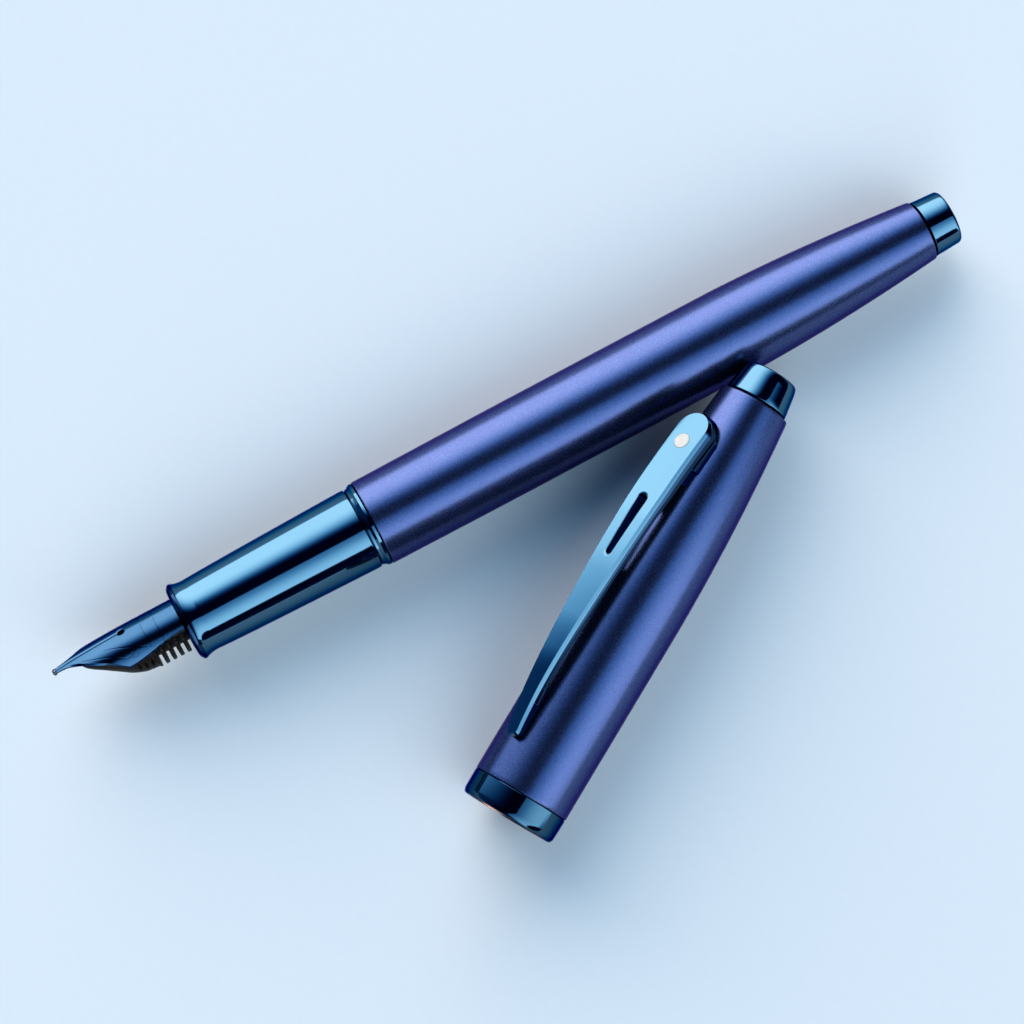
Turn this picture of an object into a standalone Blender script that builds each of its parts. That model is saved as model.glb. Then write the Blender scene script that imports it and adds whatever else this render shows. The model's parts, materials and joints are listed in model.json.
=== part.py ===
"""A converter-filled fountain pen with its cap off, as separate pieces on their joint axes.

Lengths below are in millimetres and angles in degrees; the helpers turn them into metres and
radians. The pen frame has +X from the nib's tip to the tail, +Y to the pen's left and +Z up. The
cap frame has +X from the mouth to the finial. In the whole object's frame +Y is the cap's heading.
"""

import math

import bmesh
import bpy
from mathutils import Matrix, Vector

MM = 0.001
ROUND = 32  # sides of an outer turned piece
INNER_ROUND = 20  # sides of a hidden one
SMALL_ROUND = 16  # sides of a small hidden one
WELD = 1e-7

# Pen, measured along its axis from the nib's tip
PEN_LENGTH = 120.0
RING_FRONT = 16.0
RING_BACK = 17.15
BARREL_FRONT = 41.3
BARREL_BACK = 116.2
BARREL_RADIUS = 5.5
BARREL_FRONT_RADIUS = 5.4
TAPER_START = 88.0
TAIL_RADIUS = 3.8
BARREL_BORE = 4.75

# Section and what it carries
FRONT_RING_RADIUS = 4.9
REAR_RING_RADIUS = 5.31
SECTION_BORE = 3.9
THREAD_CREST = 4.0
THREAD_ROOT = 3.72
THREAD_PITCH = 1.25
NIB_RADIUS = 3.3
NIB_THICKNESS = 0.28
NIB_ROLL = 42.0
NIB_BACK = 30.0
BREATHER_AT = 9.2
BREATHER_RADIUS = 0.42
SLIT_WIDTH = 0.14
FEED_RADIUS = 2.85
FIN_RADIUS = 3.3
FIN_ROOT = 2.35
FIN_PITCH = 0.95
FIN_GAP = 0.45
FIRST_GAP = 11.75

# Converter
CONVERTER_RADIUS = 3.2
TUBE_BORE = 2.55
ROD_RADIUS = 1.3
PISTON_TRAVEL = 22.4  # seven turns of a 3.2 lead
PISTON_FORWARD = 47.6
KNOB_BACK = 101.6

# Cap, measured along its axis from the mouth
CAP_LENGTH = 60.9
CAP_RADIUS = 6.06
CAP_END_RADIUS = 4.4
CAP_TAPER_START = 28.0
SHELL_BACK = 56.7
BAND_HEIGHT = 3.2
LIP_RADIUS = 6.0

# Clip, in a frame turned to it about the cap's axis
CLIP_ROLL = 36.5
CLIP_TIP = 8.6
CLIP_TOP = 52.6
CLIP_HALF_WIDTH = 2.3
CLIP_CROWN = 0.5
SLOT_FROM = 32.9
SLOT_TO = 41.1
SLOT_WIDTH = 1.5
DOT_AT = 48.4
DOT_RADIUS = 0.98
FOOT_FROM = 43.4
FOOT_TO = 50.2
CLIP_HINGE_AT = (49.6, 6.1)

# How the two lie: the pen flat on its barrel, the cap's finial leaning on the barrel's flank
PEN_HEADING = 59.6
CAP_HEADING = 90.0
CAP_PITCH = 2.95
MOUTH_ALONG_PEN = 38.7
MOUTH_RIGHT_OF_PEN = 38.3

# How far the pieces move
UNIT_TRAVEL = 66.0
CAP_CLOSED_GAP = 0.3


# ---------------------------------------------------------------- helpers

def finish(name, colour, metallic, roughness, alpha=1.0):
    """A Principled material in the piece's own colour."""
    material = bpy.data.materials.new(name)
    material.use_nodes = True
    shader = material.node_tree.nodes["Principled BSDF"]
    shader.inputs["Base Color"].default_value = (*colour, 1.0)
    shader.inputs["Metallic"].default_value = metallic
    shader.inputs["Roughness"].default_value = roughness
    shader.inputs["Alpha"].default_value = alpha
    return material


def frame(name, matrix, parent=None):
    """An empty that carries a group of pieces; a moving group's empty is on its joint's axis."""
    empty = bpy.data.objects.new(name, None)
    empty.empty_display_size = 5 * MM
    bpy.context.scene.collection.objects.link(empty)
    empty.parent = parent
    empty.matrix_local = matrix
    return empty


def piece(name, bm, material, parent):
    """Makes the bmesh one named object, closed and facing out, shaded smooth between sharp edges."""
    bmesh.ops.recalc_face_normals(bm, faces=bm.faces)
    mesh = bpy.data.meshes.new(name)
    bm.to_mesh(mesh)
    bm.free()
    mesh.shade_smooth()
    mesh.set_sharp_from_angle(angle=math.radians(35))
    if material:
        mesh.materials.append(material)
    item = bpy.data.objects.new(name, mesh)
    bpy.context.scene.collection.objects.link(item)
    item.parent = parent
    return item


def turned(name, outline, material, parent, sides=ROUND):
    """Turns an outline of (x, radius) points about the X axis.

    An outline that starts on the axis also ends on it. Any other goes once round a tube's wall.
    """
    bm = bmesh.new()
    verts = [bm.verts.new((x * MM, 0, radius * MM)) for x, radius in outline]
    edges = [bm.edges.new(ends) for ends in zip(verts, verts[1:])]
    if outline[0][1] > 0:
        edges.append(bm.edges.new((verts[-1], verts[0])))
    bmesh.ops.spin(bm, geom=verts + edges, cent=(0, 0, 0), axis=(1, 0, 0),
                   angle=2 * math.pi, steps=sides, use_merge=True)
    bmesh.ops.remove_doubles(bm, verts=bm.verts, dist=WELD)
    return piece(name, bm, material, parent)


def lofted(name, sections, material, parent):
    """Skins closed sections of equally many (x, y, z) points, and closes both ends."""
    bm = bmesh.new()
    rings = [[bm.verts.new(Vector(point) * MM) for point in section] for section in sections]
    for ring, following in zip(rings, rings[1:]):
        for i in range(len(ring)):
            j = (i + 1) % len(ring)
            bm.faces.new((ring[i], ring[j], following[j], following[i]))
    ends = [bm.faces.new(rings[0]), bm.faces.new(rings[-1])]
    bmesh.ops.triangulate(bm, faces=ends)
    return piece(name, bm, material, parent)


def cutter(name, bm, parent):
    """A hidden shape for a Boolean."""
    item = piece(name, bm, None, parent)
    item.hide_render = True
    item.display_type = "WIRE"
    return item


def box_cutter(name, low, high, parent):
    bm = bmesh.new()
    bmesh.ops.create_cube(bm, size=1.0)
    low = Vector(low) * MM
    high = Vector(high) * MM
    for vert in bm.verts:
        share = vert.co + Vector((0.5, 0.5, 0.5))
        vert.co = Vector(a + (b - a) * t for a, b, t in zip(low, high, share))
    return cutter(name, bm, parent)


def stadium_cutter(name, start, end, radius, low, high, parent):
    """A slot-shaped prism along Z, between two round ends on the X axis."""
    half_turn = [math.radians(step * 180 / 8 - 90) for step in range(9)]
    outline = [(end + radius * math.cos(a), radius * math.sin(a)) for a in half_turn]
    outline += [(start - radius * math.cos(a), -radius * math.sin(a)) for a in half_turn]
    bm = bmesh.new()
    floor = [bm.verts.new((x * MM, y * MM, low * MM)) for x, y in outline]
    base = bm.faces.new(floor)
    grown = bmesh.ops.extrude_face_region(bm, geom=[base])["geom"]
    raised = [item for item in grown if isinstance(item, bmesh.types.BMVert)]
    bmesh.ops.translate(bm, verts=raised, vec=(0, 0, (high - low) * MM))
    return cutter(name, bm, parent)


def cut(item, tool):
    """Cuts the tool out of the item with a Boolean, which stays on the item."""
    modifier = item.modifiers.new(tool.name, "BOOLEAN")
    modifier.operation = "DIFFERENCE"
    modifier.solver = "EXACT"
    modifier.object = tool


def rounded(x, radius, fillet, start, end, steps=4):
    """Points on a quarter turn about (x, radius), from one angle to the other."""
    angles = [math.radians(start + (end - start) * step / steps) for step in range(steps + 1)]
    return [(x + fillet * math.cos(a), radius + fillet * math.sin(a)) for a in angles]


def spread(start, end, count):
    """Equally spaced values, ends included."""
    return [start + (end - start) * step / (count - 1) for step in range(count)]


def between(x, points):
    """Straight-line reading of a short list of (x, value) points."""
    for (x0, v0), (x1, v1) in zip(points, points[1:]):
        if x <= x1:
            return v0 + (v1 - v0) * max(0.0, (x - x0) / (x1 - x0))
    return points[-1][1]


# ---------------------------------------------------------------- barrel

def barrel_radius(x):
    """The barrel's outside: almost straight, then a bullet taper to the tail."""
    if x < TAPER_START:
        share = min(1.0, (x - BARREL_FRONT) / 18.0)
        return BARREL_FRONT_RADIUS + (BARREL_RADIUS - BARREL_FRONT_RADIUS) * share
    share = (x - TAPER_START) / (BARREL_BACK - TAPER_START)
    return BARREL_RADIUS - (BARREL_RADIUS - TAIL_RADIUS) * share ** 1.8


def make_barrel(pen, looks):
    outside = [(x, barrel_radius(x)) for x in (BARREL_FRONT + 0.15, 46, 60, TAPER_START)]
    outside += [(x, barrel_radius(x)) for x in spread(TAPER_START, BARREL_BACK - 0.15, 8)[1:]]
    bore = [(114.0, 1.1), (108.6, 1.1), (108.6, 2.6), (106.4, 3.5), (94.0, 4.25), (90.0, BARREL_BORE)]
    wall = [(BARREL_FRONT, BARREL_FRONT_RADIUS - 0.15)] + outside
    wall += [(BARREL_BACK, TAIL_RADIUS - 0.15), (BARREL_BACK, 1.1)] + bore
    wall += [(BARREL_FRONT, BARREL_BORE)]
    turned("barrel_shell", wall, looks["satin"], pen)

    start = BARREL_FRONT + 0.8
    end = start + 11.4
    sleeve = [(start, 4.15), (start, 4.62), (end, 4.62), (end, 4.15)]
    grooves = []
    for step in range(6):
        x = end - 1.2 - step * THREAD_PITCH
        grooves += [(x, 4.15), (x - THREAD_PITCH / 2, 4.36), (x - THREAD_PITCH + 0.05, 4.15)]
    turned("barrel_thread_insert", sleeve + grooves, looks["brass"], pen, INNER_ROUND)

    seat = BARREL_BACK + 0.3
    tail = [(119.1, 0.0), (119.1, 1.15), (seat, 1.15), (seat, 3.45)]
    tail += [(seat + 0.15, 3.58)] + rounded(PEN_LENGTH - 0.45, 2.93, 0.45, 80, 0)
    tail += [(PEN_LENGTH, 0.0)]
    turned("tail_end_cap", tail, looks["polished"], pen)

    stud = [(106.6, 0.0), (106.6, 1.75), (106.9, 2.05), (108.2, 2.05), (108.2, 0.92)]
    stud += [(118.6, 0.92), (118.9, 0.7), (118.9, 0.0)]
    turned("tail_screw", stud, looks["steel"], pen, SMALL_ROUND)


# ---------------------------------------------------------------- section, nib and feed

def section_radius(x):
    """The grip: a waist behind the front ring, widening towards the barrel."""
    share = (x - 18.4) / (39.2 - 18.4)
    return 4.56 + 0.54 * share ** 0.75


def make_section(unit, looks):
    grip = [(RING_BACK + 0.1, SECTION_BORE), (RING_BACK + 0.1, 4.72), (17.8, 4.62)]
    grip += [(x, section_radius(x)) for x in spread(18.4, 39.2, 7)]
    grip += [(39.6, 4.98), (39.8, 4.8), (40.05, 4.8), (40.05, SECTION_BORE)]
    turned("section_grip", grip, looks["polished"], unit)

    middle = (RING_FRONT + RING_BACK) / 2
    half = (RING_BACK - RING_FRONT) / 2
    bead = [(RING_BACK, 3.72), (RING_FRONT + 0.2, 3.72), (RING_FRONT, 4.0)]
    bead += rounded(middle, FRONT_RING_RADIUS - half, half, 180, 0, 6)
    turned("section_front_ring", bead, looks["polished"], unit)

    rear = [(41.15, 4.15), (40.15, 4.15), (40.15, 4.95), (40.4, 5.25), (40.6, REAR_RING_RADIUS)]
    rear += [(40.95, REAR_RING_RADIUS), (41.15, 5.15)]
    turned("section_rear_ring", rear, looks["polished"], unit)

    connector = [(35.2, 3.4), (35.2, 3.72), (40.3, 3.72), (40.35, 3.98), (43.0, 3.98)]
    for step in range(5):
        x = 43.2 + step * THREAD_PITCH
        connector += [(x, THREAD_ROOT), (x + THREAD_PITCH / 2, THREAD_CREST)]
    connector += [(49.8, THREAD_ROOT), (50.2, THREAD_ROOT), (50.2, 3.4)]
    turned("section_connector", connector, looks["brass"], unit, INNER_ROUND)

    housing = [(16.5, 3.48), (16.5, 3.58), (RING_BACK + 0.3, 3.58), (RING_BACK + 0.3, 3.74)]
    housing += [(34.8, 3.74), (34.8, 1.3), (39.0, 1.3), (39.4, 1.0), (39.4, 0.5)]
    housing += [(31.4, 0.5), (31.4, 3.48)]
    turned("nib_housing", housing, looks["black"], unit, INNER_ROUND)


NIB_RISE = [(0.0, 2.68), (3.0, 3.0), (5.0, 3.13), (7.5, 3.25), (9.5, NIB_RADIUS), (40.0, NIB_RADIUS)]
NIB_HALF_ANGLE = [(0.5, 7.0), (1.6, 9.5), (3.0, 21.0), (4.7, 39.5), (6.45, 57.0), (7.7, 73.0),
                  (8.5, 86.0), (16.0, 64.0), (NIB_BACK, 62.0)]


def nib_section(x, points=9):
    """The nib's crescent at x: the outer arc one way, then the inner arc back."""
    top = between(x, NIB_RISE)
    half_angle = between(x, NIB_HALF_ANGLE)
    centre = top - NIB_RADIUS
    angles = [math.radians(a) for a in spread(-half_angle, half_angle, points)]
    outer = [(x, NIB_RADIUS * math.sin(a), centre + NIB_RADIUS * math.cos(a)) for a in angles]
    inside = NIB_RADIUS - NIB_THICKNESS
    inner = [(x, inside * math.sin(a), centre + inside * math.cos(a)) for a in reversed(angles)]
    return outer + inner


def feed_section(x, sides=24):
    """The feed at x: a nose that rises to the nib's underside, then fins below it."""
    top = between(x, NIB_RISE) - NIB_THICKNESS - 0.17
    low = between(x, [(3.2, 1.9), (3.7, 1.1), (5.5, -0.15), (7.0, -1.3), (8.45, -2.4), (10.0, -3.1),
                      (11.4, -FIN_RADIUS)])
    wide = between(x, [(3.2, 0.35), (3.9, 0.9), (5.5, 1.75), (7.0, 2.3), (8.45, 2.7), (10.0, FEED_RADIUS)])
    middle = (top + low) / 2
    points = []
    for step in range(sides):
        angle = 2 * math.pi * step / sides
        height = middle + (top - middle) * math.cos(angle)
        points.append((x, wide * math.sin(angle), height))
    return points


def fin_section(x, radius, sides=24):
    """A round slice of the feed, with its lower half at the given radius."""
    points = []
    for step in range(sides):
        below = sides / 4 < step < 3 * sides / 4
        reach = radius if below else FEED_RADIUS
        angle = 2 * math.pi * step / sides
        points.append((x, reach * math.sin(angle), reach * math.cos(angle)))
    return points


def make_nib(unit, looks):
    nib_frame = frame("nib_frame", Matrix.Rotation(math.radians(-NIB_ROLL), 4, "X"), unit)
    stations = [0.55, 1.1, 1.6, 2.3, 3.0, 3.9, 4.7, 5.6, 6.45, 7.1, 7.7, 8.15, 8.5, 9.5, 12.0, 16.0, NIB_BACK]
    nib = lofted("nib", [nib_section(x) for x in stations], looks["nib"], nib_frame)
    cut(nib, box_cutter("slit_cutter", (-1, -SLIT_WIDTH / 2, 1.5), (BREATHER_AT, SLIT_WIDTH / 2, 4.5),
                        nib_frame))
    cut(nib, stadium_cutter("breather_cutter", BREATHER_AT - 0.02, BREATHER_AT + 0.02, BREATHER_RADIUS,
                            1.5, 4.5, nib_frame))

    tip_height = between(0.4, NIB_RISE) - 0.16
    bm = bmesh.new()
    bmesh.ops.create_uvsphere(bm, u_segments=12, v_segments=8, radius=1.0)
    for vert in bm.verts:
        vert.co = Vector((0.26 * vert.co.x + 0.26, 0.42 * vert.co.y, tip_height + 0.36 * vert.co.z)) * MM
    piece("nib_tipping", bm, looks["iridium"], nib_frame)

    sections = [feed_section(x) for x in (3.2, 3.7, 4.5, 5.5, 7.0, 8.45, 10.0)]
    sections.append(fin_section(11.4, FIN_RADIUS))
    for step in range(8):
        gap = FIRST_GAP + step * FIN_PITCH
        for x, radius in ((gap, FIN_RADIUS), (gap + 0.02, FIN_ROOT),
                          (gap + FIN_GAP, FIN_ROOT), (gap + FIN_GAP + 0.02, FIN_RADIUS)):
            sections.append(fin_section(x, radius))
    sections += [fin_section(20.0, 3.2), fin_section(31.1, 3.2)]
    lofted("feed", sections, looks["feed"], nib_frame)


# ---------------------------------------------------------------- converter

def make_converter(converter, piston, knob, looks):
    mouth = [(36.6, 1.45), (36.6, 3.0), (36.8, CONVERTER_RADIUS), (42.4, CONVERTER_RADIUS)]
    mouth += [(42.4, TUBE_BORE - 0.15), (44.6, TUBE_BORE - 0.15), (44.6, 1.0), (41.0, 1.0), (41.0, 1.45)]
    turned("converter_mouth", mouth, looks["black"], converter, SMALL_ROUND)
    tube = [(42.55, TUBE_BORE), (42.55, CONVERTER_RADIUS), (75.0, CONVERTER_RADIUS), (75.0, TUBE_BORE)]
    turned("converter_tube", tube, looks["clear"], converter, INNER_ROUND)
    sleeve = [(72.0, 3.33), (72.0, 3.6), (86.8, 3.6), (87.0, 3.4), (87.0, 2.5), (86.3, 2.5), (86.3, 3.33)]
    turned("converter_sleeve", sleeve, looks["steel"], converter, INNER_ROUND)
    bush = [(75.2, 1.45), (75.2, CONVERTER_RADIUS), (77.1, CONVERTER_RADIUS), (77.1, 1.45)]
    turned("rod_guide_bush", bush, looks["black"], converter, SMALL_ROUND)

    x = PISTON_FORWARD + PISTON_TRAVEL
    seal = [(x, 0.0), (x, 2.0), (x + 0.2, 2.43), (x + 1.0, 2.43), (x + 1.4, 2.1), (x + 3.2, 2.1)]
    seal += [(x + 3.6, 2.43), (x + 4.3, 2.43), (x + 4.5, 2.1), (x + 4.5, 1.1), (x + 2.0, 1.1), (x + 2.0, 0.0)]
    turned("piston_seal", seal, looks["rubber"], piston, SMALL_ROUND)
    rod = [(x + 2.2, 0.0), (x + 2.2, 0.95), (x + 4.7, 0.95), (x + 4.8, ROD_RADIUS)]
    for step in range(7):
        groove = x + 7.6 + step * 3.2
        rod += [(groove, ROD_RADIUS), (groove + 0.8, ROD_RADIUS - 0.25), (groove + 1.6, ROD_RADIUS)]
    rod += [(KNOB_BACK - 0.8, ROD_RADIUS - 0.2), (KNOB_BACK - 0.8, 0.0)]
    turned("piston_rod", rod, looks["steel"], piston, SMALL_ROUND)

    hollow = KNOB_BACK - 0.6
    knob_wall = [(hollow, 0.0), (hollow, 1.5), (80.3, 1.5), (80.3, 2.12), (77.4, 2.12), (77.4, 2.3)]
    knob_wall += [(87.2, 2.3), (87.2, 2.7), (87.4, 2.9)]
    for step in range(5):
        groove = 89.5 + step * 2.0
        knob_wall += [(groove, 2.9), (groove + 0.4, 2.7), (groove + 0.8, 2.9)]
    knob_wall += [(KNOB_BACK - 0.4, 2.9), (KNOB_BACK, 2.5), (KNOB_BACK, 0.0)]
    turned("converter_knob", knob_wall, looks["black"], knob, SMALL_ROUND)
    nut = [(77.6, 1.4), (77.6, 2.0), (80.0, 2.0), (80.0, 1.4)]
    turned("drive_nut", nut, looks["brass"], knob, SMALL_ROUND)


# ---------------------------------------------------------------- cap and clip

def cap_radius(x):
    """The cap's outside: straight over the section, then tapering to the finial."""
    if x < CAP_TAPER_START:
        return CAP_RADIUS
    share = (x - CAP_TAPER_START) / (SHELL_BACK - CAP_TAPER_START)
    return CAP_RADIUS - (CAP_RADIUS - CAP_END_RADIUS) * share ** 1.9


def make_cap(cap, seat_frame, looks):
    front = BAND_HEIGHT + 0.15
    wall = [(front, 5.5), (front, CAP_RADIUS - 0.1), (front + 0.15, CAP_RADIUS), (CAP_TAPER_START, CAP_RADIUS)]
    wall += [(x, cap_radius(x)) for x in spread(CAP_TAPER_START, SHELL_BACK - 0.15, 8)[1:]]
    wall += [(SHELL_BACK, CAP_END_RADIUS - 0.2), (SHELL_BACK, 1.3), (54.6, 1.3), (54.6, 3.2)]
    wall += [(x, cap_radius(x) - 0.75) for x in (53.0, 49.0, 45.0, 41.0)] + [(34.0, 5.2), (33.0, 5.5)]
    shell = turned("cap_shell", wall, looks["satin"], cap)
    cut(shell, box_cutter("clip_slot_cutter", (45.6, -1.0, 3.2), (48.6, 1.0, 7.0), seat_frame))

    band = [(BAND_HEIGHT, 5.55), (0.35, 5.55), (0.05, 5.7), (0.0, 5.8), (0.12, 5.93), (0.35, LIP_RADIUS)]
    band += [(BAND_HEIGHT - 0.1, LIP_RADIUS + 0.03), (BAND_HEIGHT, LIP_RADIUS - 0.07)]
    turned("cap_band", band, looks["polished"], cap)

    ring = [(1.0, 5.3), (1.2, 5.45), (6.6, 5.4), (6.6, 5.2), (1.6, 5.18)]
    turned("clutch_ring", ring, looks["copper"], cap)

    liner = [(43.8, 0.0), (43.8, 3.6), (43.2, 4.4), (40.0, 4.95), (33.0, 5.1), (32.5, 5.32)]
    liner += [(20.0, 5.32), (20.0, 5.08), (26.5, 5.05), (27.5, 4.45), (38.0, 4.3), (42.3, 3.4), (42.9, 2.4)]
    liner += [(42.9, 0.0)]
    turned("inner_cap", liner, looks["black"], cap, INNER_ROUND)

    seat = SHELL_BACK + 0.3
    finial = [(59.4, 0.0), (59.4, 1.15), (seat, 1.15), (seat, 3.8), (seat + 0.12, 3.95)]
    finial += rounded(CAP_LENGTH - 0.5, 2.72, 0.5, 78, 0) + [(CAP_LENGTH, 0.0)]
    turned("cap_finial", finial, looks["polished"], cap)

    screw = [(52.6, 0.0), (52.6, 1.8), (52.8, 2.0), (54.2, 2.0), (54.2, 0.95), (59.0, 0.95), (59.2, 0.7)]
    screw += [(59.2, 0.0)]
    turned("finial_screw", screw, looks["steel"], cap, SMALL_ROUND)


def clip_height(x):
    """Height of the clip's crown above the cap's axis."""
    return between(x, [(CLIP_TIP, 7.3), (10.5, 7.85), (15.0, 8.65), (19.5, 9.05), (24.0, 9.22), (30.0, 9.27),
                       (37.0, 9.1), (42.0, 8.75), (48.4, 8.0), (CLIP_TOP, 7.4)])


def clip_half_width(x):
    """Half the clip's width: round at the top, tapering to a narrow round tip."""
    centre = CLIP_TOP - CLIP_HALF_WIDTH
    if x > centre:
        share = min(0.995, (x - centre) / CLIP_HALF_WIDTH)
        return CLIP_HALF_WIDTH * math.sqrt(1 - share ** 2)
    taper = between(x, [(CLIP_TIP, 0.75), (15.0, 1.15), (24.0, 1.62), (34.0, 2.1), (42.0, CLIP_HALF_WIDTH)])
    share = min(1.0, 0.25 + (x - CLIP_TIP) / 0.9)
    return taper * math.sqrt(1 - (1 - share) ** 2)


def clip_depth(x):
    """Depth of the clip's sides."""
    return between(x, [(CLIP_TIP, 0.55), (14.0, 0.75), (34.0, 0.9), (42.0, 1.25), (CLIP_TOP, 1.45)])


def clip_section(x, points=7):
    """The clip's section at x: a crowned top, straight sides and an underside with a contact bump."""
    half = clip_half_width(x)
    top = clip_height(x)
    crown = CLIP_CROWN * (half / CLIP_HALF_WIDTH)
    section = [(x, half * t, top - crown * t * t) for t in spread(-1, 1, points)]
    low = top - crown - clip_depth(x)
    bump = max(0.0, 1 - ((x - 12.2) / 3.2) ** 2)
    low_middle = low - (low - CAP_RADIUS - 0.3) * bump ** 0.7
    section += [(x, half, low), (x, half * 0.55, low_middle), (x, -half * 0.55, low_middle), (x, -half, low)]
    return section


def make_clip(seat_frame, clip_frame, looks):
    top_end = [CLIP_TOP - CLIP_HALF_WIDTH * (1 - math.sin(math.radians(a))) for a in (0, 25, 45, 62, 76, 85)]
    stations = [CLIP_TIP, 8.8, 9.15, 9.6, 10.5, 11.4, 12.2, 13.0, 14.0, 15.0, 15.4, 19.5, 24.0, 30.0, 37.0, 42.0, 46.0]
    clip = lofted("clip", [clip_section(x) for x in stations + top_end], looks["polished"], clip_frame)
    radius = SLOT_WIDTH / 2
    cut(clip, stadium_cutter("slot_cutter", SLOT_FROM + radius, SLOT_TO - radius, radius, 6.0, 11.0, clip_frame))
    recess_floor = clip_height(DOT_AT) - 0.55
    cut(clip, stadium_cutter("dot_cutter", DOT_AT - 0.01, DOT_AT + 0.01, DOT_RADIUS + 0.12, recess_floor, 11.0,
                             clip_frame))

    bm = bmesh.new()
    rim = clip_height(DOT_AT) - 0.02
    levels = [(0.0, recess_floor + 0.12), (DOT_RADIUS, recess_floor + 0.12), (DOT_RADIUS, rim)]
    levels += [(DOT_RADIUS * 0.75, rim + 0.12), (DOT_RADIUS * 0.4, rim + 0.18), (0.0, rim + 0.2)]
    verts = [bm.verts.new(((DOT_AT + radius) * MM, 0, z * MM)) for radius, z in levels]
    edges = [bm.edges.new(ends) for ends in zip(verts, verts[1:])]
    bmesh.ops.spin(bm, geom=verts + edges, cent=(DOT_AT * MM, 0, 0), axis=(0, 0, 1), angle=2 * math.pi,
                   steps=SMALL_ROUND, use_merge=True)
    bmesh.ops.remove_doubles(bm, verts=bm.verts, dist=WELD)
    piece("clip_dot", bm, looks["ivory"], clip_frame)

    sections = []
    for x in (FOOT_FROM, 45.8, 48.4, FOOT_TO):
        ceiling = clip_height(x) - CLIP_CROWN - clip_depth(x) - 0.25
        arc = [math.radians(a) for a in spread(26, -26, 7)]
        reach = cap_radius(x) + 0.12
        section = [(x, -2.05, ceiling), (x, 2.05, ceiling)]
        section += [(x, reach * math.sin(a), reach * math.cos(a)) for a in arc]
        sections.append(section)
    foot = lofted("clip_foot", sections, looks["polished"], seat_frame)
    tab = box_cutter("foot_tab", (45.9, -0.8, 3.6), (48.3, 0.8, 5.6), seat_frame)
    union = foot.modifiers.new("tab", "BOOLEAN")
    union.operation = "UNION"
    union.solver = "EXACT"
    union.object = tab

    low = [(45.0, -1.6), (49.2, -1.6), (49.2, 1.6), (45.0, 1.6)]
    plate = [[(x, y, z) for x, y in low] for z in (2.7, 3.4)]
    lofted("clip_retaining_plate", plate, looks["steel"], seat_frame)


# ---------------------------------------------------------------- where it all lies

def pen_matrix():
    """The pen lies level on its barrel."""
    turn = Matrix.Rotation(math.radians(PEN_HEADING), 4, "Z")
    return Matrix.Translation((0, 0, BARREL_RADIUS * MM)) @ turn


def cap_matrix():
    """The cap stands on the lower edge of its mouth, and its finial leans on the barrel."""
    pen = pen_matrix()
    mouth = pen @ (Vector((MOUTH_ALONG_PEN, -MOUTH_RIGHT_OF_PEN, 0)) * MM)
    pitch = math.radians(CAP_PITCH)
    mouth.z = (LIP_RADIUS + 0.03) * MM * math.cos(pitch)
    turn = Matrix.Rotation(math.radians(CAP_HEADING), 4, "Z") @ Matrix.Rotation(-pitch, 4, "Y")
    return Matrix.Translation(mouth) @ turn


def cap_swing():
    """The one turn that carries the cap from where it lies to the pen's axis.

    It ends coaxial with the pen, mouth towards the nib, ahead of the barrel by the writing unit's
    travel, so that the unit at the end of its travel is seated in the cap. Every point of a turning
    body moves at right angles to the axis, which fixes the axis's direction, and the two mouth
    positions then fix a point on it.
    """
    pen = pen_matrix()
    cap = cap_matrix()
    mouth = cap.translation
    along = cap.to_3x3() @ Vector((1, 0, 0))
    closed_mouth = pen @ (Vector((BARREL_FRONT - CAP_CLOSED_GAP - UNIT_TRAVEL, 0, 0)) * MM)
    closed_along = pen.to_3x3() @ Vector((-1, 0, 0))
    axis = (closed_along - along).cross(closed_mouth - mouth).normalized()
    flat = along - axis * along.dot(axis)
    closed_flat = closed_along - axis * closed_along.dot(axis)
    angle = math.atan2(flat.cross(closed_flat).dot(axis), flat.dot(closed_flat))
    middle = (mouth + closed_mouth) / 2
    chord = closed_mouth - mouth
    point = middle + axis.cross(chord) / (2 * math.tan(angle / 2))
    if angle > 0:
        axis = -axis
        angle = -angle
    return point, axis, angle


def settle(roots):
    """Moves everything so that the origin is under the middle of the whole object's box."""
    bpy.context.view_layer.update()
    corners = []
    for item in bpy.context.scene.objects:
        if item.type == "MESH" and not item.hide_render:
            corners += [item.matrix_world @ vert.co for vert in item.data.vertices]
    low = Vector(map(min, zip(*corners)))
    high = Vector(map(max, zip(*corners)))
    shift = Vector(((low.x + high.x) / 2, (low.y + high.y) / 2, low.z))
    for root in roots:
        root.location -= shift


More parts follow.
